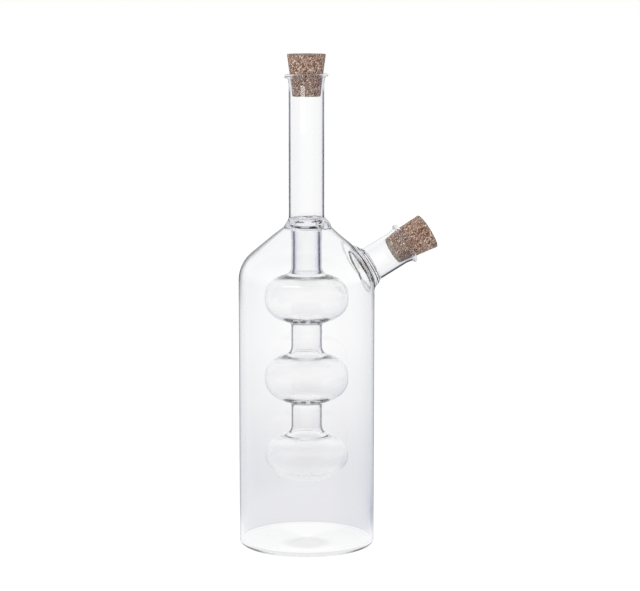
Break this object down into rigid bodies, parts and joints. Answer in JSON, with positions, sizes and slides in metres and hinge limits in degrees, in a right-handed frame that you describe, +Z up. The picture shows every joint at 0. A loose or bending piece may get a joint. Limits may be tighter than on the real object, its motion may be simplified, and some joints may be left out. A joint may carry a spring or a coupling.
{
  "type": "oil and vinegar bottle",
  "caption": "Free-standing clear glass bottle with a beaded inner vessel for one liquid, an outer jacket for the other, a slanted side spout and a cork stopper in each mouth.",
  "frame": {"origin": "centre of the flat underside, on the bottle's axis", "axes": "+Z up along the bottle's axis; +X towards the side spout, whose axis lies in the XZ plane"},
  "size_m": [0.1117, 0.075, 0.2718],
  "materials": {
    "clear_glass": "fire-polished, clear and nearly colourless",
    "agglomerated_cork": "matt, granular, with fine dark pits"
  },
  "bodies": {
    "bottle": {"outer_jacket": "clear_glass", "inner_vessel": "clear_glass", "neck_seal": "clear_glass", "neck_tube": "clear_glass", "spout_seal": "clear_glass", "spout_tube": "clear_glass"},
    "neck_stopper": {"neck_cork": "agglomerated_cork"},
    "spout_stopper": {"spout_cork": "agglomerated_cork"}
  },
  "joints": [
    {"name": "neck_cork_pull", "type": "slide", "parent": "bottle", "child": "neck_stopper", "axis": [0, 0, 1], "range_m": [0, 0.03]},
    {"name": "spout_cork_pull", "type": "slide", "parent": "bottle", "child": "spout_stopper", "axis": [0.866, 0, 0.5], "range_m": [0, 0.027]}
  ]
}
